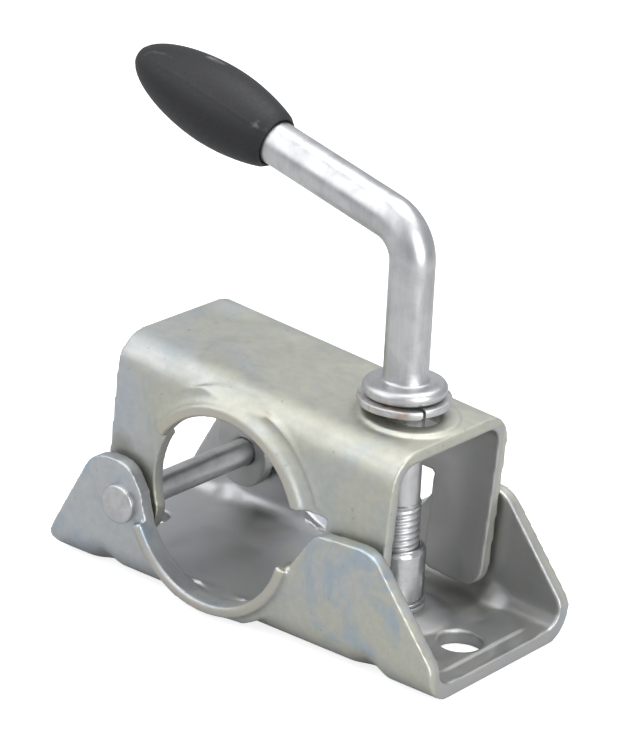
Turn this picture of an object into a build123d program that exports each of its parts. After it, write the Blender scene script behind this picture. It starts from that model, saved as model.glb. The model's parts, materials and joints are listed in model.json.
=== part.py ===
from build123d import *
import math
import os

# Clamp bracket for a round steel tube. The tube lies along Y, +X points to the spindle end and +Z is up.
# Heights are drawn from the underside of the end pads. Each piece is then written with its origin on the
# tube's axis, half way across the bracket.

# Tube and the bore that the two pressings close round it
TUBE_D = 48.3
BORE_R = TUBE_D / 2 + 0.1

# Base bracket: a U channel of pressed sheet
BASE_T = 4.0
BASE_WIDTH = 57.3
BASE_BEND_R = 8.5
BASE_LEFT_X = -58.6
BASE_RIGHT_X = 71.9
FLOOR_RAISE = 0.8
LEFT_PAD_END_X = -40.0
RIGHT_PAD_START_X = 53.0
PAD_BLEND = 6.0
WALL_TOP_Z = 40.0
TUBE_Z = FLOOR_RAISE + BASE_T + BORE_R
BASE_LIP_OUT = 2.5
BASE_LIP_FLARE = 2.4
BASE_LIP_INNER_ROUND = (1.2, 1.2)
BASE_RIM_BOTTOM_Z = 2.1
BASE_LIP_ANGLES = (-156.5, -15.0)

# Bolt holes in the two end pads
BOLT_HOLE_D = 11.5
RIGHT_HOLE_X = 59.4
HOLE_SPACING = 106.0

# Raised seat in the floor under the sleeve
SEAT_TOP_Z = 7.2
SEAT_TOP_R = 9.6
SEAT_FOOT_R = 15.0

# Top jaw: an inverted U channel inside the base, drawn in its own axes with the tube's axis as origin
JAW_T = 3.5
JAW_WIDTH = 46.5
JAW_BEND_R = 8.5
JAW_LEFT_X = -40.2
JAW_RIGHT_X = 51.2
JAW_TOP_Z = 33.2
JAW_NOSE_DOWN_DEG = 4.45
JAW_LIP_OUT = 2.7
JAW_LIP_FLARE = 4.6
JAW_LIP_INNER_ROUND = (3.5, 3.5)
JAW_LIP_INNER_SWEEP = (7.4, 4.4)
JAW_LIP_SWEEP_ANGLES = (15.0, 49.0)
JAW_LIP_BEND_IN = 2.7
JAW_LIP_BEND_Z = 31.2
JAW_LIP_ANGLES = (15.0, 150.0)
LEG_INNER_X = -22.3
LEG_BOTTOM_Z = -20.2
TONGUE_LEFT_X = 32.4
TONGUE_BOTTOM_Z = -17.6
BOSS_X = 36.7
BOSS_FOOT_R = 13.1
BOSS_TOP_R = 12.5
BOSS_HOLLOW_R = 11.5
BOSS_HEIGHT = 0.9
SLOT_WIDTH = 12.4
SLOT_LENGTH = 16.4

# Lips round the notches: rim thickness, broken edge, and how far the outer side's flare sags below a
# straight cone
LIP_RIM_T = 2.9
LIP_EDGE_BREAK = 0.5
LIP_FLARE_SAG = 0.5

# Pivot rivet
PIVOT_X = -31.0
PIVOT_Z = 21.8
RIVET_R = 3.75
RIVET_HEAD_R = 5.3
RIVET_HEAD_T = 1.7
RIVET_PEEN_R = 5.6
RIVET_PEEN_T = 2.2
BASE_PIVOT_HOLE_R = 3.8
JAW_PIVOT_HOLE_R = 3.84

# Spindle: bent bar with a forged collar, a plain shank and an M12 thread
SPINDLE_X = 37.3
THREAD_R = 5.9
SHANK_R = 5.5
BAR_R = 5.75
THREAD_BOTTOM_Z = 3.0
THREAD_TOP_Z = 35.9
WASHER_BOTTOM_Z = 61.95
WASHER_T = 2.5
COLLAR_R = 10.8
COLLAR_Z = WASHER_BOTTOM_Z + WASHER_T + 0.05
COLLAR_T = 3.9
COLLAR_PROFILE = ((2.0, 0.0), (0.6, 0.6), (0.0, 2.0), (0.6, 3.3), (2.0, COLLAR_T))
COLLAR_FILLET = 0.9
THREAD_CHAMFER = 1.2
THREAD_RUNOUT = 0.6
ELBOW_Z = 107.2
ELBOW_R = 10.5
ARM_RISE_DEG = 14.8
BAR_END = 86.0

# Grip on the arm's end: its profile holds shares of the length and of the largest radius
GRIP_START = 46.2
GRIP_END = 94.9
GRIP_MAX_R = 10.6
GRIP_MOUTH_R = 7.0
GRIP_PROFILE = ((0.19, 0.907), (0.415, 1.0), (0.68, 0.865), (0.805, 0.715), (0.93, 0.455))

# Split spring washer under the collar
WASHER_R = 12.0
WASHER_BORE_R = 6.1
WASHER_SLIT = 1.2
WASHER_SLIT_DEG = -31.0
WASHER_SLIT_SLANT_DEG = 25.0

# Threaded sleeve riveted into the floor, and the ring under it
SLEEVE_R = 7.8
SLEEVE_TOP_Z = 24.2
SLEEVE_BORE_R = 5.96
SLEEVE_NECK_R = 6.5
SLEEVE_FOOT_R = 8.6
SLEEVE_FOOT_BOTTOM_Z = 1.4
RING_R = 8.3
RING_BORE_R = 6.6
RING_T = 1.3
RING_TOP_Z = SEAT_TOP_Z + RING_T

BIG = 200.0


def block(x0, x1, y0, y1, z0, z1):
    """A box given by its two corners."""
    size = (x1 - x0, y1 - y0, z1 - z0)
    return Pos((x0 + x1) / 2, (y0 + y1) / 2, (z0 + z1) / 2) * Box(*size)


def channel_face(x, width, sheet, bend_r, floor_z, wall_z):
    """A U section across X at x. The floor's outer face is at floor_z and the walls end at wall_z."""
    up = 1 if wall_z > floor_z else -1
    half = width / 2
    inner_half = half - sheet
    inner_r = bend_r - sheet
    inner_z = floor_z + up * sheet
    outline = [
        (-half, wall_z, 0),
        (-half, floor_z, bend_r),
        (half, floor_z, bend_r),
        (half, wall_z, 0),
        (inner_half, wall_z, 0),
        (inner_half, inner_z, inner_r),
        (-inner_half, inner_z, inner_r),
        (-inner_half, wall_z, 0),
    ]
    points = [Vector(x, y, z) for y, z, r in outline]
    radii = [r for y, z, r in outline]
    return make_face(FilletPolyline(*points, radius=radii, close=True).edges())


def side_outline(points, y0, y1):
    """A closed side view outline of (x, z, corner radius), extruded from y0 to y1."""
    corners = [Vector(x, y0, z) for x, z, r in points]
    face = make_face(FilletPolyline(*corners, radius=[r for x, z, r in points], close=True).edges())
    return extrude(face, amount=y1 - y0, dir=(0, 1, 0))


def turned(edges, angles):
    """A section in the XY plane turned about the Y axis from the first angle to the second."""
    start, end = angles
    face = make_face(edges)
    body = revolve(face, axis=Axis((0, 0, 0), (0, -1, 0)), revolution_arc=end - start)
    return Rot(0, -start, 0) * body


def lip(wall_face, inner_face, out, flare, angles):
    """The outward lip of a round notch on the +Y wall, about the tube's axis, with a hollow flare outside."""
    rim_r = BORE_R + LIP_RIM_T
    rim_y = wall_face + out
    foot_r = rim_r + flare
    edge_y = rim_y - LIP_EDGE_BREAK
    middle = (rim_r + flare / 2 - LIP_FLARE_SAG, (edge_y + wall_face) / 2 - LIP_FLARE_SAG)
    flare_arc = ThreePointArc((rim_r, edge_y), middle, (foot_r, wall_face))
    outline = Polyline(
        (foot_r, wall_face),
        (foot_r, inner_face),
        (BORE_R, inner_face),
        (BORE_R, edge_y),
        (BORE_R + LIP_EDGE_BREAK, rim_y),
        (rim_r - LIP_EDGE_BREAK, rim_y),
        (rim_r, edge_y),
    )
    return turned([*outline.edges(), flare_arc], angles)


def inner_round(inner_face, size, angles):
    """What is cut from a lip's inner side to turn the sheet outwards: an arc over size (radial, along Y)."""
    radial, deep = size
    foot = (BORE_R + radial, inner_face)
    end = (BORE_R, inner_face + deep)
    share = 1 - math.sqrt(0.5)
    arc = ThreePointArc(foot, (BORE_R + radial * share, inner_face + deep * share), end)
    outline = Polyline(
        end, (BORE_R - 1, end[1]), (BORE_R - 1, inner_face - 1), (foot[0], inner_face - 1), foot
    )
    return turned([*outline.edges(), arc], angles)


def on_both_sides(shape):
    return [shape, mirror(shape, about=Plane.XZ)]


def disc(radius, z0, z1, x=0.0, y=0.0):
    return Pos(x, y, (z0 + z1) / 2) * Cylinder(radius, z1 - z0)


def cross_hole(radius, x, z):
    """A cylinder along Y right across the bracket."""
    return Pos(x, 0, z) * Rot(90, 0, 0) * Cylinder(radius, BIG)


def lathe(profile, x=0.0):
    """A section of (radius, z) points turned about a vertical axis at x."""
    face = make_face(Polyline(*[(r, 0, z) for r, z in profile], close=True).edges())
    return Pos(x, 0, 0) * revolve(face, axis=Axis.Z)


def base_channel():
    """The channel's floor is a little higher between the end pads than at them."""
    stations = [
        (BASE_LEFT_X - 3, 0.0),
        (LEFT_PAD_END_X - PAD_BLEND / 2, 0.0),
        (LEFT_PAD_END_X + PAD_BLEND / 2, FLOOR_RAISE),
        (RIGHT_PAD_START_X - PAD_BLEND / 2, FLOOR_RAISE),
        (RIGHT_PAD_START_X + PAD_BLEND / 2, 0.0),
        (BASE_RIGHT_X, 0.0),
    ]
    sections = [channel_face(x, BASE_WIDTH, BASE_T, BASE_BEND_R, z, WALL_TOP_Z) for x, z in stations]
    spans = [loft([a, b], ruled=True) for a, b in zip(sections, sections[1:])]
    body = spans[0]
    for span in spans[1:]:
        body = body + span
    return body


def base_walls():
    """Side view of the two flanges: the left ear, the notch and the right ear."""
    outline = [
        (-60.4, -1.0, 5.0),
        (-41.0, 33.4, 9.0),
        (-28.6, 33.4, 7.0),
        (-21.6, 22.2, 1.0),
        (-18.0, 20.0, 0.0),
        (22.0, 20.0, 0.0),
        (26.4, 23.4, 3.0),
        (33.6, 34.0, 6.0),
        (51.6, 35.3, 9.0),
        (BASE_RIGHT_X, 10.0, 5.0),
        (BASE_RIGHT_X, -1.0, 0.0),
    ]
    return side_outline(outline, -BIG / 2, BIG / 2)


def base_lip_room():
    """The space that the base's lips may fill: their undersides rise a little from the floor to the rim."""
    rim_half = BASE_WIDTH / 2 + BASE_LIP_OUT
    floor_half = BASE_WIDTH / 2 - BASE_BEND_R
    outline = Polyline(
        (0, -rim_half, BIG),
        (0, -rim_half, BASE_RIM_BOTTOM_Z),
        (0, -floor_half, FLOOR_RAISE),
        (0, floor_half, FLOOR_RAISE),
        (0, rim_half, BASE_RIM_BOTTOM_Z),
        (0, rim_half, BIG),
        close=True,
    )
    return extrude(make_face(outline.edges()), amount=BIG / 2, dir=(1, 0, 0), both=True)


def base_bracket():
    wall_face = BASE_WIDTH / 2
    inner_face = wall_face - BASE_T
    body = base_channel() & base_walls()
    tube_place = Pos(0, 0, TUBE_Z)
    body = body - tube_place * Rot(90, 0, 0) * Cylinder(BORE_R, BIG)
    room = base_lip_room()
    for piece in on_both_sides(lip(wall_face, inner_face, BASE_LIP_OUT, BASE_LIP_FLARE, BASE_LIP_ANGLES)):
        body = body + (tube_place * piece & room)
    above_floor = block(-BIG, BIG, -BIG, BIG, FLOOR_RAISE + BASE_T, BIG)
    for piece in on_both_sides(inner_round(inner_face, BASE_LIP_INNER_ROUND, BASE_LIP_ANGLES)):
        body = body - (tube_place * piece & above_floor)
    seat_profile = [
        (0, BASE_T / 2),
        (SEAT_FOOT_R, BASE_T / 2),
        (SEAT_FOOT_R, FLOOR_RAISE + BASE_T),
        (SEAT_TOP_R, SEAT_TOP_Z),
        (0, SEAT_TOP_Z),
    ]
    recess_foot_r = SEAT_FOOT_R - BASE_T / 2
    recess_top_z = SEAT_TOP_Z - BASE_T
    recess_profile = [
        (0, -1),
        (recess_foot_r, -1),
        (recess_foot_r, FLOOR_RAISE),
        (SEAT_TOP_R, recess_top_z),
        (0, recess_top_z),
    ]
    seat = lathe(seat_profile, SPINDLE_X)
    recess = lathe(recess_profile, SPINDLE_X)
    body = body + seat - recess - disc(SLEEVE_NECK_R, -1, BIG, SPINDLE_X)
    for x in (RIGHT_HOLE_X, RIGHT_HOLE_X - HOLE_SPACING):
        body = body - disc(BOLT_HOLE_D / 2, -1, 2 * BASE_T, x)
    return body - cross_hole(BASE_PIVOT_HOLE_R, PIVOT_X, PIVOT_Z)


def jaw_place(shape):
    """From the jaw's own axes to the bracket's: nose down about the tube's axis."""
    return Pos(0, 0, TUBE_Z) * Rot(0, JAW_NOSE_DOWN_DEG, 0) * shape


def jaw_lip_room():
    """The space that the jaw's lips may fill: out to the rim beside the walls, then in along the bend."""
    rim_half = JAW_WIDTH / 2 + JAW_LIP_OUT
    rim_top_z = BORE_R + LIP_RIM_T
    bend_half = JAW_WIDTH / 2 - JAW_LIP_BEND_IN
    outline = [
        (-rim_half, -BIG / 4, 0),
        (-rim_half, rim_top_z, LIP_EDGE_BREAK),
        (-bend_half, JAW_LIP_BEND_Z, 0),
        (bend_half, JAW_LIP_BEND_Z, 0),
        (rim_half, rim_top_z, LIP_EDGE_BREAK),
        (rim_half, -BIG / 4, 0),
    ]
    points = [Vector(0, y, z) for y, z, r in outline]
    face = make_face(FilletPolyline(*points, radius=[r for y, z, r in outline], close=True).edges())
    return extrude(face, amount=BIG / 2, dir=(1, 0, 0), both=True)


def top_jaw():
    wall_face = JAW_WIDTH / 2
    inner_face = wall_face - JAW_T
    left = channel_face(JAW_LEFT_X, JAW_WIDTH, JAW_T, JAW_BEND_R, JAW_TOP_Z, -30.0)
    body = extrude(left, amount=JAW_RIGHT_X - JAW_LEFT_X, dir=(1, 0, 0))
    outline = [
        (JAW_LEFT_X, 50.0, 0.0),
        (JAW_LEFT_X, LEG_BOTTOM_Z, 8.8),
        (LEG_INNER_X, LEG_BOTTOM_Z, 8.8),
        (LEG_INNER_X, 5.0, 0.0),
        (22.0, 5.0, 0.0),
        (TONGUE_LEFT_X, 5.0, 3.0),
        (TONGUE_LEFT_X, TONGUE_BOTTOM_Z, 3.0),
        (JAW_RIGHT_X, TONGUE_BOTTOM_Z, 6.5),
        (JAW_RIGHT_X, 50.0, 0.0),
    ]
    body = body & side_outline(outline, -BIG / 2, BIG / 2)
    body = body - Rot(90, 0, 0) * Cylinder(BORE_R, BIG)
    room = jaw_lip_room()
    for piece in on_both_sides(lip(wall_face, inner_face, JAW_LIP_OUT, JAW_LIP_FLARE, JAW_LIP_ANGLES)):
        body = body + (piece & room)
    for piece in on_both_sides(inner_round(inner_face, JAW_LIP_INNER_ROUND, JAW_LIP_ANGLES)):
        body = body - piece
    for piece in on_both_sides(inner_round(inner_face, JAW_LIP_INNER_SWEEP, JAW_LIP_SWEEP_ANGLES)):
        body = body - piece
    web_under = JAW_TOP_Z - JAW_T
    boss_profile = [
        (0, web_under),
        (BOSS_FOOT_R, web_under),
        (BOSS_FOOT_R, JAW_TOP_Z),
        (BOSS_TOP_R, JAW_TOP_Z + BOSS_HEIGHT),
        (0, JAW_TOP_Z + BOSS_HEIGHT),
    ]
    hollow_profile = [
        (0, web_under - 1),
        (BOSS_HOLLOW_R, web_under - 1),
        (BOSS_HOLLOW_R, web_under),
        (BOSS_HOLLOW_R - BOSS_HEIGHT, web_under + BOSS_HEIGHT),
        (0, web_under + BOSS_HEIGHT),
    ]
    boss = lathe(boss_profile, BOSS_X)
    hollow = lathe(hollow_profile, BOSS_X)
    slot = extrude(Pos(BOSS_X, 0, 0) * SlotOverall(SLOT_LENGTH, SLOT_WIDTH), amount=BIG / 2)
    body = body + boss - hollow - slot
    body = jaw_place(body)
    return body - cross_hole(JAW_PIVOT_HOLE_R, PIVOT_X, PIVOT_Z)


def pivot_rivet():
    """Shank across both pressings, flat head on the -Y side and a peened end on the +Y side."""
    face = BASE_WIDTH / 2
    profile = [
        (0, -face - RIVET_HEAD_T),
        (RIVET_HEAD_R - 0.5, -face - RIVET_HEAD_T),
        (RIVET_HEAD_R, -face - RIVET_HEAD_T + 0.5),
        (RIVET_HEAD_R, -face),
        (RIVET_R, -face),
        (RIVET_R, face),
        (RIVET_PEEN_R, face),
        (RIVET_PEEN_R - 0.8, face + RIVET_PEEN_T * 0.55),
        (RIVET_PEEN_R - 2.8, face + RIVET_PEEN_T),
        (0, face + RIVET_PEEN_T),
    ]
    shape = revolve(make_face(Polyline(*profile, close=True).edges()), axis=Axis.Y)
    return Pos(PIVOT_X, 0, PIVOT_Z) * shape


def arm_frame():
    """The elbow's corner with its Z axis along the arm."""
    rise = math.radians(ARM_RISE_DEG)
    along = (-math.cos(rise), 0, math.sin(rise))
    return Plane(origin=(SPINDLE_X, 0, ELBOW_Z), x_dir=(0, 1, 0), z_dir=along)


def clamp_spindle():
    corner = Vector(SPINDLE_X, 0, ELBOW_Z)
    arm = arm_frame()
    bar_foot = COLLAR_Z + COLLAR_T / 2
    path = FilletPolyline(
        Vector(SPINDLE_X, 0, bar_foot), corner, corner + arm.z_dir * BAR_END, radius=ELBOW_R
    )
    bar = sweep(Plane(origin=(SPINDLE_X, 0, bar_foot), z_dir=(0, 0, 1)) * Circle(BAR_R), path=path)
    stem = lathe(
        [
            (0, THREAD_BOTTOM_Z),
            (THREAD_R - THREAD_CHAMFER, THREAD_BOTTOM_Z),
            (THREAD_R, THREAD_BOTTOM_Z + THREAD_CHAMFER),
            (THREAD_R, THREAD_TOP_Z - THREAD_RUNOUT),
            (SHANK_R, THREAD_TOP_Z),
            (SHANK_R, COLLAR_Z),
            *[(COLLAR_R - inset, COLLAR_Z + height) for inset, height in COLLAR_PROFILE],
            (BAR_R + COLLAR_FILLET, COLLAR_Z + COLLAR_T),
            (BAR_R, COLLAR_Z + COLLAR_T + COLLAR_FILLET),
            (0, COLLAR_Z + COLLAR_T + COLLAR_FILLET),
        ],
        SPINDLE_X,
    )
    return stem + bar


def lever_grip():
    """Egg-shaped grip: a blunt tip, widest past the middle and a narrower open mouth."""
    length = GRIP_END - GRIP_START
    outline = Spline(
        (GRIP_MOUTH_R, 0, 0),
        *[(GRIP_MAX_R * girth, 0, length * along) for along, girth in GRIP_PROFILE],
        (0, 0, length),
        tangents=((0.5, 0, 1), (-1, 0, 0)),
    )
    top = Line((0, 0, length), (0, 0, 0))
    mouth = Line((0, 0, 0), (GRIP_MOUTH_R, 0, 0))
    section = make_face([*outline.edges(), top, mouth])
    body = revolve(section, axis=Axis.Z)
    socket = Pos(0, 0, (BAR_END - GRIP_START) / 2) * Cylinder(BAR_R, BAR_END - GRIP_START)
    arm = arm_frame()
    return arm.location * Pos(0, 0, GRIP_START) * (body - socket)


def spring_washer():
    """Split ring, flat here and slit across its front."""
    ring = disc(WASHER_R, 0, WASHER_T) - disc(WASHER_BORE_R, -1, WASHER_T + 1)
    slab = Rot(WASHER_SLIT_SLANT_DEG, 0, 0) * Box(WASHER_R * 2, WASHER_SLIT, WASHER_R)
    slit = Rot(0, 0, WASHER_SLIT_DEG) * Pos(WASHER_R, 0, WASHER_T / 2) * slab
    return Pos(SPINDLE_X, 0, WASHER_BOTTOM_Z) * (ring - slit)


def threaded_sleeve():
    return lathe(
        [
            (SLEEVE_BORE_R, SLEEVE_FOOT_BOTTOM_Z),
            (SLEEVE_FOOT_R - 0.6, SLEEVE_FOOT_BOTTOM_Z),
            (SLEEVE_FOOT_R, SLEEVE_FOOT_BOTTOM_Z + 0.6),
            (SLEEVE_FOOT_R, SEAT_TOP_Z - BASE_T),
            (SLEEVE_NECK_R, SEAT_TOP_Z - BASE_T),
            (SLEEVE_NECK_R, RING_TOP_Z),
            (SLEEVE_R, RING_TOP_Z),
            (SLEEVE_R, RING_TOP_Z + 0.9),
            (SLEEVE_R - 0.7, RING_TOP_Z + 1.1),
            (SLEEVE_R - 0.7, RING_TOP_Z + 1.6),
            (SLEEVE_R, RING_TOP_Z + 1.9),
            (SLEEVE_R, SLEEVE_TOP_Z - 1.3),
            (SLEEVE_R - 1.3, SLEEVE_TOP_Z),
            (SLEEVE_BORE_R, SLEEVE_TOP_Z),
        ],
        SPINDLE_X,
    )


def seat_ring():
    return disc(RING_R, SEAT_TOP_Z, RING_TOP_Z, SPINDLE_X) - disc(RING_BORE_R, 0, SLEEVE_TOP_Z, SPINDLE_X)


os.makedirs("parts", exist_ok=True)
for make in (
    base_bracket,
    top_jaw,
    pivot_rivet,
    clamp_spindle,
    lever_grip,
    spring_washer,
    threaded_sleeve,
    seat_ring,
):
    shape = make()
    export_step(Pos(0, 0, -TUBE_Z) * shape, f"parts/{make.__name__}.step")
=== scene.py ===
"""Builds the visible pieces of a tube clamp bracket round its CAD frame, one operator for each piece."""

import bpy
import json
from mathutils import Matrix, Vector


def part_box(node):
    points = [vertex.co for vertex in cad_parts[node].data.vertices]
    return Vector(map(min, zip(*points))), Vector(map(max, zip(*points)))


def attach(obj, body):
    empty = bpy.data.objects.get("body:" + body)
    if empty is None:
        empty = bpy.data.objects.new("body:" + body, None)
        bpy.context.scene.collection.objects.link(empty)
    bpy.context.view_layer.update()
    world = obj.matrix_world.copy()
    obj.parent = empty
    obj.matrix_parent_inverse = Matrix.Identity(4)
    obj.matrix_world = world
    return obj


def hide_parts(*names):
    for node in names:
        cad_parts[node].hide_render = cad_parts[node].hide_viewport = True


bl_info = {
    "name": "Tube Clamp Bracket",
    "version": (1, 0, 0),
    "blender": (4, 5, 0),
    "location": "3D View > Sidebar > Clamp",
    "description": "Builds a pressed steel tube clamp bracket with its screw lever",
    "category": "Object",
}

import json
import math

import bpy
from mathutils import Matrix, Vector, noise

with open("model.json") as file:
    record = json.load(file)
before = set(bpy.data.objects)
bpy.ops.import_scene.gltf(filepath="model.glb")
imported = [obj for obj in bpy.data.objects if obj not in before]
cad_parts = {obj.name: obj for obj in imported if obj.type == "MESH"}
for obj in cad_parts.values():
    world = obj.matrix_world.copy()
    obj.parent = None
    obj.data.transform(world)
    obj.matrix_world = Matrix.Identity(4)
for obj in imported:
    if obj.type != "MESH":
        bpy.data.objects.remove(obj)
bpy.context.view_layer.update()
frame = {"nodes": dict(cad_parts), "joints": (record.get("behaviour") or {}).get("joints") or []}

MM = 0.001
JOINTS = {joint["name"]: joint for joint in frame["joints"]}
SPINDLE_X = JOINTS["lever_turn"]["pos_m"][0]
PIVOT = Vector(JOINTS["jaw_open"]["pos_m"])
FLOOR_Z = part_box("base_bracket")[0][2]
AXIS_HEIGHT = 29.05 * MM
ARM_RISE = math.radians(14.8)
ELBOW_Z = 107.20 * MM - AXIS_HEIGHT
THREAD_TOP_MM = 6.85
BAR_R = 5.75 * MM
BAR_BEND_R = 10.5 * MM
ARM_LENGTH = 85.8 * MM
JAW_TILT = math.radians(4.45)
NOTCH_FOOT = 9.7 * MM
NOTCH_FOOT_SPAN = (15.0 * MM, 32.4 * MM)


# Sizes and colours that a user may change

class ClampSizes(bpy.types.PropertyGroup):
    voxel: bpy.props.FloatProperty(
        name="Skin voxel", description="Grid size of the softened skin on the two pressings",
        default=0.54 * MM, subtype="DISTANCE", unit="LENGTH")
    soften: bpy.props.IntProperty(
        name="Soften passes", description="Smoothing passes that round the pressings' edges", default=3)
    waviness: bpy.props.FloatProperty(
        name="Sheet waviness", description="How far the pressed sheet strays from flat",
        default=0.10 * MM, subtype="DISTANCE", unit="LENGTH")
    pitch: bpy.props.FloatProperty(
        name="Thread pitch", description="Advance of the spindle for one turn",
        default=1.75 * MM, subtype="DISTANCE", unit="LENGTH")
    thread_depth: bpy.props.FloatProperty(
        name="Thread depth", description="From crest to root of the rolled thread",
        default=0.60 * MM, subtype="DISTANCE", unit="LENGTH")
    ring_segments: bpy.props.IntProperty(
        name="Ring segments", description="Segments round a turned piece", default=96)
    grip_segments: bpy.props.IntProperty(
        name="Grip segments", description="Segments round the moulded grip", default=192)
    parting_height: bpy.props.FloatProperty(
        name="Parting line", description="Height of the mould's parting line on the grip",
        default=0.10 * MM, subtype="DISTANCE", unit="LENGTH")
    washer_spread: bpy.props.FloatProperty(
        name="Washer spread", description="How far the split washer's lower end is bent down",
        default=0.42 * MM, subtype="DISTANCE", unit="LENGTH")


def colour(name, description, value):
    return bpy.props.FloatVectorProperty(
        name=name, description=description, default=value, size=3, min=0.0, max=1.0, subtype="COLOR")


class ClampColours(bpy.types.PropertyGroup):
    cool_zinc: colour("Cool zinc", "Clean zinc plate", (0.50, 0.52, 0.53))
    warm_zinc: colour("Warm zinc", "Yellowish passivated plate", (0.53, 0.53, 0.46))
    blue_zinc: colour("Blue zinc", "Bluish passivation patches", (0.40, 0.47, 0.53))
    # Painted shade: this darker grey is laid on the pressings' insides, between the walls and under the web.
    inner_shade_zinc: colour("Inner zinc", "Greyer plate inside the pressings", (0.43, 0.43, 0.43))
    cut_zinc: colour("Cut face", "Rougher, warmer plate on the lips' cut faces", (0.52, 0.49, 0.42))
    edge_zinc: colour("Edge", "Plate rubbed bright along an edge", (0.78, 0.76, 0.70))
    bright_zinc: colour("Bright zinc", "Smooth plate on bar and sleeve", (0.57, 0.575, 0.58))
    dull_zinc: colour("Dull zinc", "Darker spots in the smooth plate", (0.42, 0.42, 0.43))
    rust: colour("Rust", "Thin rust on the washer", (0.42, 0.22, 0.10))
    grip: colour("Grip", "Moulded grip", (0.007, 0.007, 0.008))
    scuff: colour("Scuff", "Pale scuffs on the grip", (0.16, 0.16, 0.16))
    floor: colour("Floor", "Studio floor", (0.52, 0.52, 0.52))


class ClampStage(bpy.types.PropertyGroup):
    azimuth: bpy.props.FloatProperty(
        name="Azimuth", description="Camera's turn about Z, from looking along +Y",
        default=math.radians(39.0), subtype="ANGLE", unit="ROTATION")
    elevation: bpy.props.FloatProperty(
        name="Elevation", description="Camera's height above the floor, as an angle",
        default=math.radians(21.74), subtype="ANGLE", unit="ROTATION")
    roll: bpy.props.FloatProperty(
        name="Roll", description="Camera's turn about its own line of sight",
        default=math.radians(2.72), subtype="ANGLE", unit="ROTATION")
    distance: bpy.props.FloatProperty(
        name="Distance", description="From the camera to the point it looks at",
        default=0.8672, subtype="DISTANCE", unit="LENGTH")
    lens: bpy.props.FloatProperty(
        name="Lens", description="Focal length in millimetres on a 36 mm wide sensor", default=192.4)
    aim: bpy.props.FloatVectorProperty(
        name="Aim", description="Point in the middle of the picture",
        default=(-0.00930, 0.01974, 0.02408), size=3, subtype="TRANSLATION", unit="LENGTH")


# Working by hand: selection, modifiers and rings

def select_only(obj):
    if bpy.context.object and bpy.context.object.mode != "OBJECT":
        bpy.ops.object.mode_set(mode="OBJECT")
    bpy.ops.object.select_all(action="DESELECT")
    obj.select_set(True)
    bpy.context.view_layer.objects.active = obj


def apply_modifier(obj, kind, **settings):
    select_only(obj)
    modifier = obj.modifiers.new(kind.lower(), kind)
    for key, value in settings.items():
        setattr(modifier, key, value)
    bpy.ops.object.modifier_apply(modifier=modifier.name)


def clean_normals(obj, merge=0.001 * MM):
    select_only(obj)
    bpy.ops.object.mode_set(mode="EDIT")
    bpy.ops.mesh.select_all(action="SELECT")
    bpy.ops.mesh.remove_doubles(threshold=merge)
    bpy.ops.mesh.normals_make_consistent(inside=False)
    bpy.ops.object.mode_set(mode="OBJECT")


def stacked_rings(name, rings, segments, closed_ring=False):
    """A turned piece on the Z axis: a circle is extruded and scaled from ring to ring of (radius, z)."""
    first_r, first_z = rings[0]
    bpy.ops.object.select_all(action="DESELECT")
    fill = "NOTHING" if closed_ring else "NGON"
    bpy.ops.mesh.primitive_circle_add(
        vertices=segments, radius=first_r, fill_type=fill, location=(0, 0, first_z), enter_editmode=True)
    obj = bpy.context.object
    obj.name = name
    bpy.ops.mesh.select_all(action="SELECT")
    for (r0, z0), (r1, z1) in zip(rings, rings[1:]):
        bpy.ops.mesh.extrude_region_move(TRANSFORM_OT_translate={"value": (0, 0, z1 - z0)})
        bpy.ops.transform.resize(value=(r1 / r0, r1 / r0, 1), center_override=(0, 0, z1))
    if closed_ring:
        bpy.ops.mesh.select_all(action="SELECT")
        bpy.ops.mesh.remove_doubles(threshold=0.001 * MM)
    bpy.ops.object.mode_set(mode="OBJECT")
    bpy.ops.object.transform_apply(location=True, rotation=True, scale=True)
    clean_normals(obj)
    return obj


def smooth_shade(obj, angle=35):
    select_only(obj)
    bpy.ops.object.shade_smooth_by_angle(angle=math.radians(angle))


def hand_over(obj, body, node, material):
    """Gives a finished piece its material and its place in the table of bodies."""
    obj.data.materials.clear()
    obj.data.materials.append(material)
    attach(obj, body)
    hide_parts(node)


def join_into(obj, others):
    select_only(obj)
    for other in others:
        other.select_set(True)
    bpy.ops.object.join()
    return bpy.context.object


# Shared surface effects

def new_group(name, inputs, outputs):
    group = bpy.data.node_groups.new(name, "ShaderNodeTree")
    for label, kind, default in inputs:
        socket = group.interface.new_socket(name=label, in_out="INPUT", socket_type=kind)
        if default is not None:
            socket.default_value = default
    for label, kind in outputs:
        group.interface.new_socket(name=label, in_out="OUTPUT", socket_type=kind)
    return group, group.nodes.new("NodeGroupInput"), group.nodes.new("NodeGroupOutput")


def add_noise(tree, vector, scale, detail=3.0, roughness=0.55, distortion=0.0):
    node = tree.nodes.new("ShaderNodeTexNoise")
    node.inputs["Scale"].default_value = scale
    node.inputs["Detail"].default_value = detail
    node.inputs["Roughness"].default_value = roughness
    node.inputs["Distortion"].default_value = distortion
    tree.links.new(vector, node.inputs["Vector"])
    return node.outputs["Fac"]


def add_range(tree, value, low, high, to_low=0.0, to_high=1.0):
    node = tree.nodes.new("ShaderNodeMapRange")
    node.interpolation_type = "SMOOTHSTEP"
    for label, number in (("From Min", low), ("From Max", high), ("To Min", to_low), ("To Max", to_high)):
        node.inputs[label].default_value = number
    tree.links.new(value, node.inputs["Value"])
    return node.outputs["Result"]


def add_mix(tree, factor, first, second, blend="MIX"):
    node = tree.nodes.new("ShaderNodeMix")
    node.data_type = "RGBA"
    node.blend_type = blend
    for source, socket in ((factor, node.inputs[0]), (first, node.inputs[6]), (second, node.inputs[7])):
        if hasattr(source, "is_output"):
            tree.links.new(source, socket)
        else:
            socket.default_value = source
    return node.outputs[2]


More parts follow.
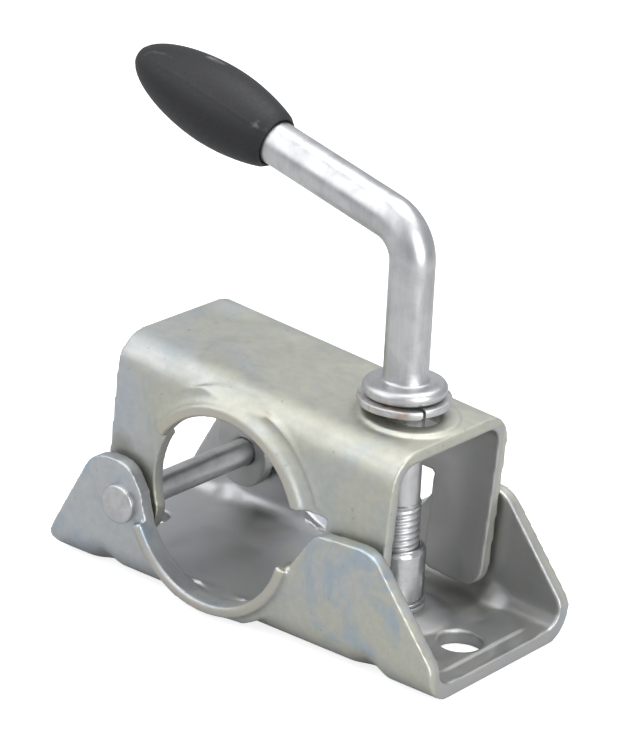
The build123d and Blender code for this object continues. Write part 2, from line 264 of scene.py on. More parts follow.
def add_math(tree, operation, first, second):
    node = tree.nodes.new("ShaderNodeMath")
    node.operation = operation
    for source, socket in ((first, node.inputs[0]), (second, node.inputs[1])):
        if hasattr(source, "is_output"):
            tree.links.new(source, socket)
        else:
            socket.default_value = source
    return node.outputs[0]


def passivation_group():
    """Patches of warm and bluish passivation over clean plate, with fine mottling."""
    group, given, out = new_group(
        "passivated_plate",
        [("Vector", "NodeSocketVector", None), ("Cool", "NodeSocketColor", (0.5, 0.5, 0.5, 1)),
         ("Warm", "NodeSocketColor", (0.5, 0.5, 0.4, 1)), ("Blue", "NodeSocketColor", (0.4, 0.45, 0.5, 1)),
         ("Warmth", "NodeSocketFloat", 0.5), ("Blueness", "NodeSocketFloat", 0.5),
         ("Roughness", "NodeSocketFloat", 0.42)],
        [("Color", "NodeSocketColor"), ("Roughness", "NodeSocketFloat"), ("Height", "NodeSocketFloat")])
    vector = given.outputs["Vector"]
    broad = add_noise(group, vector, 24.0, 2.0, 0.5, 0.6)
    shift = add_math(group, "SUBTRACT", given.outputs["Warmth"], 0.5)
    warm_patch = add_range(group, add_math(group, "ADD", broad, shift), 0.38, 0.62)
    tint = add_mix(group, warm_patch, given.outputs["Cool"], given.outputs["Warm"])
    cloud = add_noise(group, vector, 46.0, 4.0, 0.6, 1.4)
    blue_patch = add_range(group, cloud, 0.47, 0.68)
    blued = add_math(group, "MULTIPLY", blue_patch, given.outputs["Blueness"])
    tint = add_mix(group, blued, tint, given.outputs["Blue"])
    mottle = add_noise(group, vector, 420.0, 5.0, 0.65)
    tint = add_mix(group, 0.16, tint, add_range(group, mottle, 0.35, 0.65, 0.55, 1.0), "MULTIPLY")
    specks = add_range(group, add_noise(group, vector, 520.0, 1.0, 0.4), 0.72, 0.78)
    tint = add_mix(group, add_math(group, "MULTIPLY", specks, 0.4), tint, (0.25, 0.25, 0.22, 1))
    group.links.new(tint, out.inputs["Color"])
    smear = add_range(group, add_noise(group, vector, 70.0, 4.0, 0.6, 0.8), 0.3, 0.7, -0.07, 0.09)
    group.links.new(add_math(group, "ADD", smear, given.outputs["Roughness"]), out.inputs["Roughness"])
    grain = add_noise(group, vector, 1500.0, 2.0)
    group.links.new(add_math(group, "ADD", mottle, grain), out.inputs["Height"])
    return group


def edge_wear_group():
    """A mask of the convex edges, broken up by grain."""
    group, given, out = new_group(
        "edge_wear",
        [("Vector", "NodeSocketVector", None), ("Amount", "NodeSocketFloat", 1.0)],
        [("Mask", "NodeSocketFloat")])
    geometry = group.nodes.new("ShaderNodeNewGeometry")
    edge = add_range(group, geometry.outputs["Pointiness"], 0.53, 0.62)
    grain = add_range(group, add_noise(group, given.outputs["Vector"], 160.0, 4.0, 0.7), 0.25, 0.6, 0.35, 1.0)
    group.links.new(
        add_math(group, "MULTIPLY", add_math(group, "MULTIPLY", edge, grain), given.outputs["Amount"]),
        out.inputs["Mask"])
    return group


def scratch_group():
    """Fine marks drawn out along one direction."""
    group, given, out = new_group(
        "drawn_marks",
        [("Vector", "NodeSocketVector", None), ("Stretch", "NodeSocketVector", (1.0, 1.0, 0.1))],
        [("Mask", "NodeSocketFloat")])
    stretch = group.nodes.new("ShaderNodeVectorMath")
    stretch.operation = "MULTIPLY"
    group.links.new(given.outputs["Vector"], stretch.inputs[0])
    group.links.new(given.outputs["Stretch"], stretch.inputs[1])
    marks = add_noise(group, stretch.outputs["Vector"], 700.0, 3.0, 0.6)
    group.links.new(add_range(group, marks, 0.4, 0.66), out.inputs["Mask"])
    return group


def inner_shade_group():
    """A mask of what lies between the walls and below the web, in a pressing's own axes; it places the
    painted shade inside a pressing.
    """
    group, given, out = new_group(
        "inner_shade",
        [("Vector", "NodeSocketVector", None), ("Wall", "NodeSocketFloat", 0.02),
         ("Web", "NodeSocketFloat", 1.0), ("Slope", "NodeSocketFloat", 0.0)],
        [("Mask", "NodeSocketFloat")])
    parts = group.nodes.new("ShaderNodeSeparateXYZ")
    group.links.new(given.outputs["Vector"], parts.inputs[0])
    beside = add_math(group, "ABSOLUTE", parts.outputs["Y"], 0.0)
    within = add_math(group, "SUBTRACT", given.outputs["Wall"], beside)
    tilted = add_math(group, "MULTIPLY", parts.outputs["X"], given.outputs["Slope"])
    height = add_math(group, "ADD", parts.outputs["Z"], tilted)
    under = add_math(group, "SUBTRACT", given.outputs["Web"], height)
    between_walls = add_range(group, within, 0.0, 1.2 * MM)
    below_web = add_range(group, under, 0.0, 1.2 * MM)
    group.links.new(add_math(group, "MULTIPLY", between_walls, below_web), out.inputs["Mask"])
    return group


def soft_spot_group():
    """A mask round one place, its edge broken up by cloudy noise."""
    group, given, out = new_group(
        "soft_spot",
        [("Vector", "NodeSocketVector", None), ("Centre", "NodeSocketVector", (0.0, 0.0, 0.0)),
         ("Reach", "NodeSocketFloat", 0.01)],
        [("Mask", "NodeSocketFloat")])
    away = group.nodes.new("ShaderNodeVectorMath")
    away.operation = "DISTANCE"
    group.links.new(given.outputs["Vector"], away.inputs[0])
    group.links.new(given.outputs["Centre"], away.inputs[1])
    near = add_math(group, "DIVIDE", away.outputs["Value"], given.outputs["Reach"])
    cloud = add_noise(group, given.outputs["Vector"], 150.0, 4.0, 0.65)
    group.links.new(add_range(group, add_math(group, "ADD", near, cloud), 1.3, 0.6), out.inputs["Mask"])
    return group


def shared(name, make):
    return bpy.data.node_groups.get(name) or make()


def material_base(name, metallic, slot_colour):
    material = bpy.data.materials.new(name)
    material.use_nodes = True
    material.diffuse_color = (*slot_colour, 1)
    tree = material.node_tree
    shader = tree.nodes["Principled BSDF"]
    shader.inputs["Metallic"].default_value = metallic
    place = tree.nodes.new("ShaderNodeTexCoord").outputs["Object"]
    return material, tree, shader, place


def place_group(tree, group, values, links):
    node = tree.nodes.new("ShaderNodeGroup")
    node.node_tree = group
    for key, value in values.items():
        node.inputs[key].default_value = value
    for key, source in links.items():
        tree.links.new(source, node.inputs[key])
    return node


def add_bump(tree, shader, height, strength, distance):
    bump = tree.nodes.new("ShaderNodeBump")
    bump.inputs["Strength"].default_value = strength
    bump.inputs["Distance"].default_value = distance
    tree.links.new(height, bump.inputs["Height"])
    tree.links.new(bump.outputs["Normal"], shader.inputs["Normal"])


def pressed_zinc(name, warm_from, warm_to, blueness, roughness, inner, rim, stains=()):
    """Plated sheet whose tint turns from bluish to warm along X between two places, with painted shade
    darkening its inner faces.
    """
    tones = bpy.context.scene.clamp_colours
    material, tree, shader, place = material_base(name, 0.92, tones.cool_zinc)
    along = tree.nodes.new("ShaderNodeSeparateXYZ")
    tree.links.new(place, along.inputs[0])
    warmth = add_range(tree, along.outputs["X"], warm_from, warm_to, 0.34, 0.66)
    plate = place_group(
        tree, shared("passivated_plate", passivation_group),
        {"Cool": (*tones.cool_zinc, 1), "Warm": (*tones.warm_zinc, 1), "Blue": (*tones.blue_zinc, 1),
         "Blueness": blueness, "Roughness": roughness},
        {"Vector": place, "Warmth": warmth})
    # Painted shade: the faces between the walls and below the web are mixed towards a darker grey.
    inside = place_group(tree, shared("inner_shade", inner_shade_group), inner, {"Vector": place})
    inner_shade_amount = add_math(tree, "MULTIPLY", inside.outputs["Mask"], 0.8)
    tint = add_mix(tree, inner_shade_amount, plate.outputs["Color"], (*tones.inner_shade_zinc, 1))
    sideways = tree.nodes.new("ShaderNodeSeparateXYZ")
    tree.links.new(place, sideways.inputs[0])
    beside = add_math(tree, "ABSOLUTE", sideways.outputs["Y"], 0.0)
    cut_face = add_range(tree, beside, rim - 0.35 * MM, rim - 0.1 * MM)
    tint = add_mix(tree, add_math(tree, "MULTIPLY", cut_face, 0.7), tint, (*tones.cut_zinc, 1))
    for centre, reach, stain_colour, amount in stains:
        spot = place_group(
            tree, shared("soft_spot", soft_spot_group), {"Centre": centre, "Reach": reach}, {"Vector": place})
        strength = add_math(tree, "MULTIPLY", spot.outputs["Mask"], amount)
        tint = add_mix(tree, strength, tint, (*stain_colour, 1))
    wear = place_group(tree, shared("edge_wear", edge_wear_group), {"Amount": 0.75}, {"Vector": place})
    tint = add_mix(tree, wear.outputs["Mask"], tint, (*tones.edge_zinc, 1))
    tree.links.new(tint, shader.inputs["Base Color"])
    tree.links.new(plate.outputs["Roughness"], shader.inputs["Roughness"])
    add_bump(tree, shader, plate.outputs["Height"], 0.10, 0.05 * MM)
    return material


def bright_plate(name, roughness, stretch, dirt=(0.0, 0.0, 0.0), dirt_amount=0.0):
    """Smooth turned or drawn steel with bright plate and fine marks."""
    tones = bpy.context.scene.clamp_colours
    material, tree, shader, place = material_base(name, 1.0, tones.bright_zinc)
    marks = place_group(tree, shared("drawn_marks", scratch_group), {"Stretch": stretch}, {"Vector": place})
    cloud = add_range(tree, add_noise(tree, place, 130.0, 4.0, 0.6, 0.6), 0.35, 0.7, 0.0, 0.7)
    tint = add_mix(tree, cloud, (*tones.bright_zinc, 1), (*tones.dull_zinc, 1))
    tint = add_mix(tree, add_math(tree, "MULTIPLY", marks.outputs["Mask"], 0.18), tint, (*tones.edge_zinc, 1))
    stain = add_range(tree, add_noise(tree, place, 190.0, 4.0, 0.65, 1.0), 0.5, 0.7, 0.0, dirt_amount)
    tint = add_mix(tree, stain, tint, (*dirt, 1))
    tree.links.new(tint, shader.inputs["Base Color"])
    haze = add_range(
        tree, add_noise(tree, place, 90.0, 3.0, 0.6), 0.3, 0.7, roughness - 0.05, roughness + 0.08)
    tree.links.new(haze, shader.inputs["Roughness"])
    add_bump(tree, shader, marks.outputs["Mask"], 0.08, 0.03 * MM)
    return material


def moulded_grip():
    """Dark matte plastic with a fine spark grain and pale scuffs near its mouth."""
    tones = bpy.context.scene.clamp_colours
    material, tree, shader, place = material_base("moulded_grip", 0.0, tones.grip)
    grain = add_noise(tree, place, 1600.0, 3.0, 0.6)
    cloud = add_range(tree, add_noise(tree, place, 60.0, 3.0, 0.6), 0.3, 0.7, 0.0, 0.3)
    tint = add_mix(tree, cloud, (*tones.grip, 1), (*[c * 1.7 for c in tones.grip], 1))
    marks = place_group(
        tree, shared("drawn_marks", scratch_group), {"Stretch": (0.25, 0.8, 0.35)}, {"Vector": place})
    rubbed = add_range(tree, add_noise(tree, place, 85.0, 3.0, 0.6, 0.8), 0.60, 0.74, 0.0, 0.7)
    scuff = add_math(tree, "MULTIPLY", marks.outputs["Mask"], rubbed)
    tint = add_mix(tree, scuff, tint, (*tones.scuff, 1))
    tree.links.new(tint, shader.inputs["Base Color"])
    tree.links.new(add_range(tree, grain, 0.3, 0.7, 0.50, 0.62), shader.inputs["Roughness"])
    add_bump(tree, shader, grain, 0.18, 0.05 * MM)
    return material


# Shaping the pressings

def trim_notch_feet(obj, foot, left, right, tilt):
    """Cuts both walls off level above the notch's right foot, in the jaw's own tilted axes."""
    depth, width = 14.0 * MM, 80.0 * MM
    bpy.ops.object.select_all(action="DESELECT")
    bpy.ops.mesh.primitive_cube_add(size=1, location=((left + right) / 2, 0, foot - depth / 2))
    cutter = bpy.context.object
    bpy.ops.transform.resize(value=(right - left, width, depth))
    bpy.ops.object.transform_apply(location=True, rotation=True, scale=True)
    cutter.data.transform(Matrix.Rotation(tilt, 4, "Y"))
    apply_modifier(obj, "BOOLEAN", object=cutter, operation="DIFFERENCE", solver="EXACT")
    bpy.data.objects.remove(cutter)


def softened_skin(node, name, passes, shape=None):
    """A copy of a CAD pressing, merged and remeshed so that its edges and folds are softly rounded."""
    sizes = bpy.context.scene.clamp_sizes
    source = frame["nodes"][node]
    obj = bpy.data.objects.new(name, source.data.copy())
    bpy.context.scene.collection.objects.link(obj)
    clean_normals(obj, 0.005 * MM)
    if shape:
        shape(obj)
    apply_modifier(obj, "REMESH", mode="VOXEL", voxel_size=sizes.voxel, adaptivity=0.0)
    apply_modifier(obj, "SMOOTH", factor=0.5, iterations=passes)
    return obj


def smoothstep(value, low, high):
    t = min(1.0, max(0.0, (value - low) / (high - low)))
    return t * t * (3 - 2 * t)


def wave_sheet(obj, amount, seed, size=26.0):
    """Presses a slow unevenness into the sheet, the same on both of its faces."""
    for vertex in obj.data.vertices:
        spot = vertex.co * size + Vector((seed, seed * 0.7, 0))
        shifts = (Vector((0, 0, 0)), Vector((9, 0, 0)), Vector((0, 9, 0)))
        push = Vector([noise.noise(spot + shift) for shift in shifts])
        vertex.co += push * amount


def coin_pad(obj, start_x, end_x, depth):
    """Coins a pad's outer strip a little lower, with a crisp step along its inner edge."""
    half_width, blend, edge = 14.0 * MM, 5.0 * MM, 0.7 * MM
    low, high = sorted((start_x, end_x))
    step_in = edge if start_x < end_x else 4 * edge
    step_out = edge if start_x > end_x else 4 * edge
    for vertex in obj.data.vertices:
        spot = vertex.co
        if spot.z > FLOOR_Z + 6.0 * MM:
            continue
        along = smoothstep(spot.x, low, low + step_in) * (1 - smoothstep(spot.x, high - step_out, high))
        across = 1 - smoothstep(abs(spot.y), half_width, half_width + blend)
        upper = smoothstep(spot.z, FLOOR_Z + 1.5 * MM, FLOOR_Z + 3.0 * MM)
        spot.z -= depth * along * across * upper


def keep_in_box(obj, node):
    """Holds every vertex inside the CAD node's box."""
    low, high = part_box(node)
    for vertex in obj.data.vertices:
        for axis in range(3):
            vertex.co[axis] = min(high[axis], max(low[axis], vertex.co[axis]))


def bead_round_notch(obj, wall, radius, height, width, angles):
    """Raises a thin ridge on the outer faces of both walls along an arc about the tube's axis."""
    start, end = (math.radians(a) for a in angles)
    fade = math.radians(8)
    for vertex in obj.data.vertices:
        spot = vertex.co
        if abs(spot.y) < wall - 2.0 * MM:
            continue
        angle = math.atan2(spot.z, spot.x)
        off = (math.hypot(spot.x, spot.z) - radius) / width
        if abs(off) > 3 or not start < angle < end:
            continue
        along = smoothstep(angle, start, start + fade / 4) * (1 - smoothstep(angle, end - fade * 3, end))
        outer = smoothstep(abs(spot.y), wall - 1.6 * MM, wall - 0.6 * MM)
        spot.y += math.copysign(height * math.exp(-off * off) * along * outer, spot.y)


def dent_bends(obj, x, reach, depth):
    """Presses a gusset into both bottom bends at x: the sheet moves inwards and up."""
    for vertex in obj.data.vertices:
        spot = vertex.co
        side = math.copysign(1.0, spot.y)
        bend = Vector((x, side * 25.0 * MM, FLOOR_Z + 4.0 * MM))
        away = (spot - bend).length / reach
        if away < 1:
            push = depth * (1 - smoothstep(away, 0.0, 1.0))
            vertex.co += Vector((0, -side * push, push)) * math.sqrt(0.5)


class CLAMP_OT_base_pressing(bpy.types.Operator):
    """Builds the base: a softened, slightly uneven pressing with coined bolt pads"""
    bl_idname = "clamp.base_pressing"
    bl_label = "Base pressing"

    def execute(self, context):
        sizes = context.scene.clamp_sizes
        obj = softened_skin("base_bracket", "base_pressing", sizes.soften)
        wave_sheet(obj, sizes.waviness, 3.1)
        low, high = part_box("base_bracket")
        coin_pad(obj, high[0] - 5.7 * MM, high[0] + 1.0 * MM, 0.35 * MM)
        coin_pad(obj, low[0] + 4.5 * MM, low[0] - 1.0 * MM, 0.35 * MM)
        dent_bends(obj, high[0] - 21.0 * MM, 7.0 * MM, 1.5 * MM)
        dent_bends(obj, low[0] + 18.0 * MM, 7.0 * MM, 1.3 * MM)
        keep_in_box(obj, "base_bracket")
        select_only(obj)
        bpy.ops.object.shade_smooth()
        material = pressed_zinc(
            "base_zinc", -0.022, 0.030, 0.95, 0.42, {"Wall": 27.0 * MM, "Web": 1.0},
            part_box("base_bracket")[1][1])
        hand_over(obj, "bracket", "base_bracket", material)
        return {"FINISHED"}


class CLAMP_OT_jaw_pressing(bpy.types.Operator):
    """Builds the hinged jaw as a softened, slightly uneven pressing"""
    bl_idname = "clamp.jaw_pressing"
    bl_label = "Jaw pressing"

    def execute(self, context):
        sizes = context.scene.clamp_sizes
        obj = softened_skin(
            "top_jaw", "jaw_pressing", sizes.soften,
            lambda jaw: trim_notch_feet(jaw, NOTCH_FOOT, *NOTCH_FOOT_SPAN, JAW_TILT))
        wave_sheet(obj, sizes.waviness, 7.7)
        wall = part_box("top_jaw")[1][1] - 2.7 * MM
        bead_round_notch(obj, wall, 31.6 * MM, 0.45 * MM, 0.7 * MM, (16, 100))
        bead_round_notch(obj, wall + 2.2 * MM, 27.3 * MM, 0.25 * MM, 0.5 * MM, (17, 148))
        keep_in_box(obj, "top_jaw")
        select_only(obj)
        bpy.ops.object.shade_smooth()
        material = pressed_zinc(
            "jaw_zinc", -0.110, 0.010, 0.35, 0.50, {"Wall": 21.8 * MM, "Web": 31.2 * MM, "Slope": 0.078},
            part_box("top_jaw")[1][1],
            [((-0.036, -0.0225, 0.006), 0.007, (0.30, 0.27, 0.21), 0.6),
             ((0.012, -0.0250, 0.030), 0.006, (0.42, 0.37, 0.26), 0.35)])
        hand_over(obj, "jaw", "top_jaw", material)
        return {"FINISHED"}


class CLAMP_OT_pivot_rivet(bpy.types.Operator):
    """Builds the rivet: flat head in front, shank, and a peened end behind"""
    bl_idname = "clamp.pivot_rivet"
    bl_label = "Pivot rivet"

    def execute(self, context):
        low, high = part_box("pivot_rivet")
        front, back = -low[1] / MM, high[1] / MM
        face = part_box("base_bracket")[1][1] / MM - 2.5
        rings = [(0.6, -front + 0.12), (3.4, -front + 0.02), (4.75, -front + 0.06), (5.1, -front + 0.25),
                 (5.25, -front + 0.6), (5.27, -face - 0.02), (3.75, -face), (3.75, -19.0),
                 (3.75, 0.0), (3.75, 19.0),
                 (3.75, face), (5.45, face), (5.5, face + 0.35), (5.1, face + 0.95), (4.2, face + 1.45),
                 (2.8, back - 0.25), (1.2, back - 0.03), (0.3, back)]
        segments = context.scene.clamp_sizes.ring_segments
        obj = stacked_rings("pivot_pin", [(r * MM, z * MM) for r, z in rings], segments)
        obj.data.transform(Matrix.Translation(PIVOT) @ Matrix.Rotation(math.radians(-90), 4, "X"))
        smooth_shade(obj, 40)
        material = bright_plate("rivet_zinc", 0.36, (1.0, 0.15, 1.0), (0.45, 0.44, 0.38), 0.4)
        hand_over(obj, "bracket", "pivot_rivet", material)
        return {"FINISHED"}


def threaded_stem(sizes, bottom, thread_top, collar):
    """Thread, plain shank and forged collar on the Z axis. The thread is pressed in as a true helix."""
    crest, shank = 5.88, 5.48
    step = 0.14
    count = int((thread_top - bottom - 1.2) / step)
    rings = [(1.0, bottom), (crest - 1.2, bottom)]
    rings += [(crest, bottom + 1.2 + step * i) for i in range(count + 1)]
    rings += [(shank, thread_top + 0.3), (shank, collar - 8), (shank, collar), (8.2, collar),
              (9.3, collar + 0.08),
              (10.1, collar + 0.45), (10.6, collar + 1.1), (10.78, collar + 1.9), (10.62, collar + 2.7),
              (10.2, collar + 3.3), (9.6, collar + 3.68), (8.9, collar + 3.84), (8.0, collar + 3.88),
              (6.9, collar + 3.9), (6.35, collar + 4.0), (6.0, collar + 4.3), (5.8, collar + 4.8),
              (5.74, collar + 8.0)]
    stem = stacked_rings("screw_spindle", [(r * MM, z * MM) for r, z in rings], 64)
    depth = sizes.thread_depth
    for vertex in stem.data.vertices:
        z = vertex.co.z / MM
        radius = Vector((vertex.co.x, vertex.co.y)).length
        if z > thread_top + 0.2 or radius < (crest - 1.3) * MM:
            continue
        phase = (vertex.co.z / sizes.pitch - math.atan2(vertex.co.y, vertex.co.x) / math.tau) % 1.0
        groove = smoothstep(abs(phase - 0.5), 0.0, 0.42)
        fade = smoothstep(z, bottom, bottom + 2.0) * (1 - smoothstep(z, thread_top - 3.0, thread_top + 0.2))
        scale = (radius - depth * (1 - groove) * fade) / radius
        vertex.co.x *= scale
        vertex.co.y *= scale
    return stem


def bent_bar(start_z, elbow_z, bend_r, rise, length, radius, segments):
    """The bar above the collar: a circle extruded up, spun round the bend and extruded along the arm."""
    turn = math.pi / 2 - rise
    setback = bend_r * math.tan(turn / 2)
    bpy.ops.object.select_all(action="DESELECT")
    bpy.ops.mesh.primitive_circle_add(
        vertices=segments, radius=radius, fill_type="NGON", location=(0, 0, start_z), enter_editmode=True)
    obj = bpy.context.object
    bpy.ops.mesh.select_all(action="SELECT")
    bpy.ops.mesh.extrude_region_move(TRANSFORM_OT_translate={"value": (0, 0, elbow_z - setback - start_z)})
    bpy.ops.mesh.spin(
        steps=20, angle=turn, center=(-bend_r, 0, elbow_z - setback), axis=(0, 1, 0))
    along = Vector((-math.cos(rise), 0, math.sin(rise)))
    bpy.ops.mesh.extrude_region_move(TRANSFORM_OT_translate={"value": along * (length - setback)})
    bpy.ops.object.mode_set(mode="OBJECT")
    bpy.ops.object.transform_apply(location=True, rotation=True, scale=True)
    clean_normals(obj)
    return obj


class CLAMP_OT_screw_spindle(bpy.types.Operator):
    """Builds the bent bar with its forged collar, plain shank and rolled thread"""
    bl_idname = "clamp.screw_spindle"
    bl_label = "Screw spindle"

    def execute(self, context):
        sizes = context.scene.clamp_sizes
        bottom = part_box("clamp_spindle")[0][2] / MM
        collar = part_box("spring_washer")[1][2] / MM + 0.05
        stem = threaded_stem(sizes, bottom, THREAD_TOP_MM, collar)
        bar = bent_bar((collar + 4.6) * MM, ELBOW_Z, BAR_BEND_R, ARM_RISE, ARM_LENGTH, BAR_R, 64)
        obj = join_into(stem, [bar])
        obj.data.transform(Matrix.Translation((SPINDLE_X, 0, 0)))
        smooth_shade(obj, 38)
        material = bright_plate("spindle_zinc", 0.34, (1.0, 1.0, 0.12))
        hand_over(obj, "spindle", "clamp_spindle", material)
        return {"FINISHED"}


class CLAMP_OT_lever_grip(bpy.types.Operator):
    """Builds the egg-shaped grip with its mouth and parting line"""
    bl_idname = "clamp.lever_grip"
    bl_label = "Lever grip"

    def execute(self, context):
        sizes = context.scene.clamp_sizes
        start, length, widest, mouth = 46.3, 48.5, 10.5, 6.9
        rings = [(5.8, 6.0), (5.8, 0.9), (6.0, 0.35), (6.35, 0.0), (6.7, 0.08), (mouth, 0.4)]
        steps, waist = 36, 0.415
        for i in range(1, steps):
            share = i / steps
            if share < waist:
                girth = mouth + (widest - mouth) * math.sin(math.pi / 2 * share / waist) ** 0.75
            else:
                girth = widest * math.sqrt(1 - ((share - waist) / (1 - waist)) ** 1.8)
            rings.append((girth, share * length))
        rings.append((0.3, length))
        obj = stacked_rings("grip_shell", [(r * MM, z * MM) for r, z in rings], sizes.grip_segments)
        parting = math.radians(-55)
        for vertex in obj.data.vertices:
            angle = math.atan2(vertex.co.y, vertex.co.x)
            radius = math.hypot(vertex.co.x, vertex.co.y)
            if radius < 6.6 * MM:
                continue
            off = abs(math.sin(angle - parting)) * radius
            lift = sizes.parting_height * math.exp(-((off / (0.28 * MM)) ** 2))
            vertex.co.x *= 1 + lift / radius
            vertex.co.y *= 1 + lift / radius
        along = Vector((-math.cos(ARM_RISE), 0, math.sin(ARM_RISE)))
        turn = Vector((0, 0, 1)).rotation_difference(along).to_matrix().to_4x4()
        corner = Vector((SPINDLE_X, 0, ELBOW_Z))
        obj.data.transform(Matrix.Translation(corner + along * start * MM) @ turn)
        smooth_shade(obj, 40)
        hand_over(obj, "spindle", "lever_grip", moulded_grip())
        return {"FINISHED"}


class CLAMP_OT_split_washer(bpy.types.Operator):
    """Builds the split spring washer: a bevelled section spun nearly all round, then spread"""
    bl_idname = "clamp.split_washer"
    bl_label = "Split washer"

    def execute(self, context):
        sizes = context.scene.clamp_sizes
        low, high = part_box("spring_washer")
        outer = (high[0] - low[0]) / 2 - 0.05 * MM
        inner = 6.4 * MM
        thick = (high[2] - low[2]) - sizes.washer_spread - 0.02 * MM
        bpy.ops.object.select_all(action="DESELECT")
        bpy.ops.mesh.primitive_plane_add(
            size=1, location=((outer + inner) / 2, 0, 0), rotation=(math.pi / 2, 0, 0), enter_editmode=True)
        obj = bpy.context.object
        obj.name = "split_washer"
        bpy.ops.mesh.select_all(action="SELECT")
        bpy.ops.transform.resize(value=(outer - inner, 1, thick), center_override=((outer + inner) / 2, 0, 0))
        bpy.ops.mesh.bevel(offset=0.45 * MM, segments=3, affect="VERTICES")
        gap = math.radians(3.5)
        bpy.ops.mesh.spin(steps=110, angle=math.tau - gap, center=(0, 0, 0), axis=(0, 0, 1))
        bpy.ops.object.mode_set(mode="OBJECT")
        bpy.ops.object.transform_apply(location=True, rotation=True, scale=True)
        clean_normals(obj)
        for vertex in obj.data.vertices:
            share = (math.atan2(vertex.co.y, vertex.co.x) % math.tau) / math.tau
            vertex.co.z += (0.5 - smoothstep(share, 0.86, 0.99)) * sizes.washer_spread
        middle = (low[2] + high[2]) / 2
        split_turn = Matrix.Rotation(math.radians(-29), 4, "Z")
        obj.data.transform(Matrix.Translation((SPINDLE_X, 0, middle)) @ split_turn)
        smooth_shade(obj, 40)
        tones = context.scene.clamp_colours
        material = bright_plate("washer_zinc", 0.40, (0.6, 0.6, 1.0), tuple(tones.rust), 0.55)
        hand_over(obj, "washer", "spring_washer", material)
        return {"FINISHED"}


class CLAMP_OT_threaded_sleeve(bpy.types.Operator):
    """Builds the threaded sleeve with its groove, rounded rim and riveted foot, and the ring under it"""
    bl_idname = "clamp.threaded_sleeve"
    bl_label = "Threaded sleeve"

    def execute(self, context):
        segments = context.scene.clamp_sizes.ring_segments
        low, high = (corner[2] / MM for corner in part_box("threaded_sleeve"))
        ring_low, ring_high = (corner[2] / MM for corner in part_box("seat_ring"))
        bore, neck, body, foot = 5.97, 6.5, 7.78, 8.55
        rings = [(bore, low), (foot - 0.6, low), (foot, low + 0.6), (foot, ring_low - 4.0),
                 (neck, ring_low - 4.0),
                 (neck, ring_high), (body - 0.2, ring_high), (body, ring_high + 0.2), (body, ring_high + 0.8),
                 (body - 0.25, ring_high + 1.0), (body - 0.7, ring_high + 1.1), (body - 0.7, ring_high + 1.6),
                 (body - 0.2, ring_high + 1.75), (body, ring_high + 2.0), (body, high - 1.7),
                 (body - 0.12, high - 1.3),
                 (body - 0.55, high - 0.6), (body - 1.0, high - 0.15), (body - 1.35, high),
                 (bore + 0.25, high),
                 (bore, high - 0.3), (bore, low)]
        obj = stacked_rings("nut_sleeve", [(r * MM, z * MM) for r, z in rings], segments, closed_ring=True)
        obj.data.transform(Matrix.Translation((SPINDLE_X, 0, 0)))
        smooth_shade(obj, 38)
        material = bright_plate("sleeve_zinc", 0.24, (0.3, 0.3, 1.0))
        hand_over(obj, "bracket", "threaded_sleeve", material)
        rings = [(6.65, ring_low), (8.05, ring_low), (8.28, ring_low + 0.25), (8.28, ring_high - 0.3),
                 (8.0, ring_high), (6.65, ring_high), (6.65, ring_low)]
        ring = stacked_rings("foot_ring", [(r * MM, z * MM) for r, z in rings], segments, closed_ring=True)
        ring.data.transform(Matrix.Translation((SPINDLE_X, 0, 0)))
        smooth_shade(ring, 38)
        hand_over(ring, "bracket", "seat_ring", bright_plate("ring_zinc", 0.30, (0.3, 0.3, 1.0)))
        return {"FINISHED"}


def area_light(name, place, aim, size, power, tint=(1, 1, 1)):
    bpy.ops.object.light_add(type="AREA", location=place)
    lamp = bpy.context.object
    lamp.name = name
    lamp.data.shape = "RECTANGLE"
    lamp.data.size, lamp.data.size_y = size
    lamp.data.energy = power
    lamp.data.color = tint
    lamp.rotation_euler = (Vector(place) - Vector(aim)).to_track_quat("Z", "Y").to_euler()


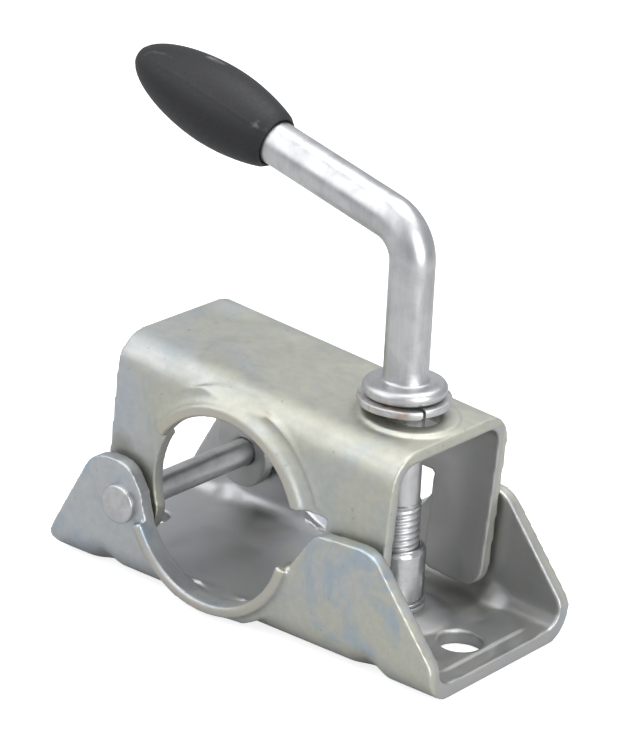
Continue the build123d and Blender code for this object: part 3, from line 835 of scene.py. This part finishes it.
class CLAMP_OT_studio(bpy.types.Operator):
    """Adds the pale floor, the soft lights and the camera"""
    bl_idname = "clamp.studio"
    bl_label = "Studio"

    def execute(self, context):
        scene = context.scene
        stage = scene.clamp_stage
        bpy.ops.object.select_all(action="DESELECT")
        bpy.ops.mesh.primitive_plane_add(size=8.0, location=(0, 0, FLOOR_Z - 0.02 * MM))
        floor = context.object
        floor.name = "studio_floor"
        material = bpy.data.materials.new("floor_paper")
        material.use_nodes = True
        tree = material.node_tree
        shader = tree.nodes["Principled BSDF"]
        shader.inputs["Base Color"].default_value = (*scene.clamp_colours.floor, 1)
        shader.inputs["Roughness"].default_value = 0.9
        shader.inputs["Emission Color"].default_value = (1, 1, 1, 1)
        seen = tree.nodes.new("ShaderNodeLightPath").outputs["Is Camera Ray"]
        tree.links.new(add_math(tree, "MULTIPLY", seen, 0.8), shader.inputs["Emission Strength"])
        floor.data.materials.append(material)
        middle = (0.0, 0.0, 0.03)
        area_light("key_light", (-0.55, -0.75, 0.95), middle, (1.8, 1.4), 11.0)
        area_light("top_light", (0.15, 0.25, 1.1), middle, (1.0, 1.0), 9.0)
        area_light("side_light", (1.0, -0.15, 0.35), middle, (0.6, 0.8), 6.5)
        world = bpy.data.worlds.new("studio_world")
        world.use_nodes = True
        world.node_tree.nodes["Background"].inputs["Color"].default_value = (0.93, 0.95, 1.0, 1)
        world.node_tree.nodes["Background"].inputs["Strength"].default_value = 0.60
        scene.world = world
        scene.view_settings.view_transform = "Standard"
        az, el, roll = stage.azimuth, stage.elevation, stage.roll
        back = Vector((math.sin(az) * math.cos(el), -math.cos(az) * math.cos(el), math.sin(el)))
        right = Vector((math.cos(az), math.sin(az), 0))
        up = back.cross(right)
        across = right * math.cos(roll) + up * math.sin(roll)
        upright = up * math.cos(roll) - right * math.sin(roll)
        spot = Vector(stage.aim) + back * stage.distance
        bpy.ops.object.camera_add()
        camera = context.object
        camera.name = "studio_camera"
        turn = Matrix((across, upright, back)).transposed().to_4x4()
        camera.matrix_world = Matrix.Translation(spot) @ turn
        camera.data.sensor_fit = "HORIZONTAL"
        camera.data.sensor_width = 36.0
        camera.data.lens = stage.lens
        camera.data.clip_end = 20.0
        scene.camera = camera
        return {"FINISHED"}


STEPS = (
    CLAMP_OT_base_pressing,
    CLAMP_OT_jaw_pressing,
    CLAMP_OT_pivot_rivet,
    CLAMP_OT_screw_spindle,
    CLAMP_OT_lever_grip,
    CLAMP_OT_split_washer,
    CLAMP_OT_threaded_sleeve,
    CLAMP_OT_studio,
)


class CLAMP_PT_panel(bpy.types.Panel):
    bl_idname = "CLAMP_PT_panel"
    bl_label = "Tube Clamp Bracket"
    bl_space_type = "VIEW_3D"
    bl_region_type = "UI"
    bl_category = "Clamp"

    def draw(self, context):
        layout = self.layout
        for step in STEPS:
            layout.operator(step.bl_idname)
        for group in (context.scene.clamp_sizes, context.scene.clamp_colours, context.scene.clamp_stage):
            box = layout.box()
            for key in group.bl_rna.properties.keys():
                if key not in ("rna_type", "name"):
                    box.prop(group, key)


CLASSES = (ClampSizes, ClampColours, ClampStage, *STEPS, CLAMP_PT_panel)


def register():
    for item in CLASSES:
        bpy.utils.register_class(item)
    bpy.types.Scene.clamp_sizes = bpy.props.PointerProperty(type=ClampSizes)
    bpy.types.Scene.clamp_colours = bpy.props.PointerProperty(type=ClampColours)
    bpy.types.Scene.clamp_stage = bpy.props.PointerProperty(type=ClampStage)


def unregister():
    del bpy.types.Scene.clamp_stage
    del bpy.types.Scene.clamp_colours
    del bpy.types.Scene.clamp_sizes
    for item in reversed(CLASSES):
        bpy.utils.unregister_class(item)


def main():
    register()
    for step in STEPS:
        group, name = step.bl_idname.split(".")
        getattr(getattr(bpy.ops, group), name)()


if __name__ == "__main__":
    main()
